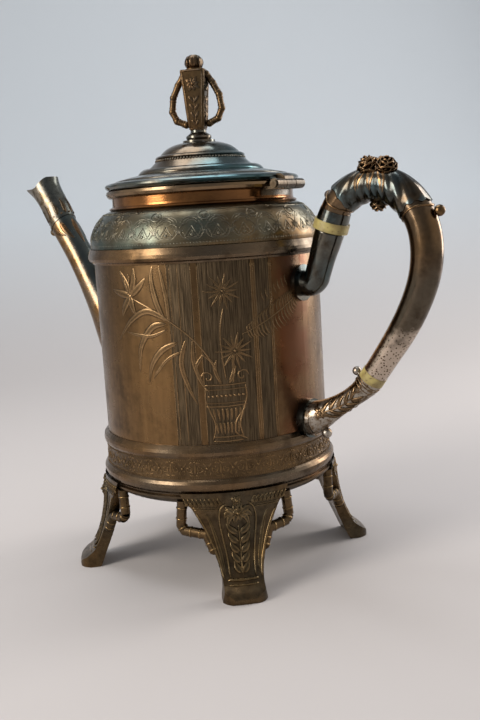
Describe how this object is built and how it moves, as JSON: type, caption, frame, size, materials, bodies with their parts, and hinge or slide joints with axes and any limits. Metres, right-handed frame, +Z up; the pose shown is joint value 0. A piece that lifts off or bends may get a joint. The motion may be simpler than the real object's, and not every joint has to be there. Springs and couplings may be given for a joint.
{
  "type": "coffee pot",
  "caption": "Footed cylindrical metal coffee pot with a straight spout, a hinged domed lid with a vase finial, and a looped handle set between pale insulators.",
  "frame": {"origin": "on the body's axis at the plane the feet stand on", "axes": "+Z up, handle towards +X, spout towards -X, lid hinge axis along Y"},
  "size_m": [0.273, 0.1246, 0.2655],
  "materials": {
    "body_metal": "tarnished silver plate worn to warm bronze, satin with polished patches",
    "trim_metal": "tarnished moulded trim, dark in the recesses",
    "lid_metal": "polished silver plate with a cool grey and teal tarnish",
    "cast_metal": "cast relief ornament, dark brown patina with bright high spots",
    "bone": "aged ivory-yellow bone insulator, satin",
    "inner_metal": "plain inner metal, dull"
  },
  "bodies": {
    "pot": {"base_dish": "body_metal", "body_wall": "body_metal", "foot_back": "cast_metal", "foot_back_bamboo": "cast_metal", "foot_front": "cast_metal", "foot_front_bamboo": "cast_metal", "foot_left": "cast_metal", "foot_left_bamboo": "cast_metal", "foot_right": "cast_metal", "foot_right_bamboo": "cast_metal", "foot_rim_moulding": "trim_metal", "girdle_moulding": "trim_metal", "handle_drop": "cast_metal", "handle_ferrule": "body_metal", "handle_grip": "body_metal", "handle_knobs": "cast_metal", "handle_leaf_wrap": "lid_metal", "handle_lower_boss": "body_metal", "handle_lower_drop": "cast_metal", "handle_lower_insulator": "bone", "handle_lower_socket": "cast_metal", "handle_rose": "cast_metal", "handle_upper_boss": "body_metal", "handle_upper_insulator": "bone", "handle_upper_socket": "body_metal", "hinge_body_leaf": "trim_metal", "hinge_pin": "inner_metal", "lower_band": "trim_metal", "neck_collar": "body_metal", "rim_moulding": "trim_metal", "shoulder": "body_metal", "spout_lip": "cast_metal", "spout_sleeve": "cast_metal", "spout_sleeve_drop": "cast_metal", "spout_tube": "body_metal", "upper_band_moulding": "trim_metal"},
    "lid": {"finial_bud": "cast_metal", "finial_collar": "lid_metal", "finial_handles": "cast_metal", "finial_nut": "inner_metal", "finial_screw": "inner_metal", "finial_vase": "cast_metal", "hinge_lid_leaf": "trim_metal", "lid_bezel": "inner_metal", "lid_dome": "lid_metal", "lid_step_moulding": "lid_metal"}
  },
  "joints": [
    {"name": "lid_hinge", "type": "hinge", "parent": "pot", "child": "lid", "pos_m": [0.054, 0, 0.1971], "axis": [0, 1, 0], "range_deg": [0, 95]}
  ]
}
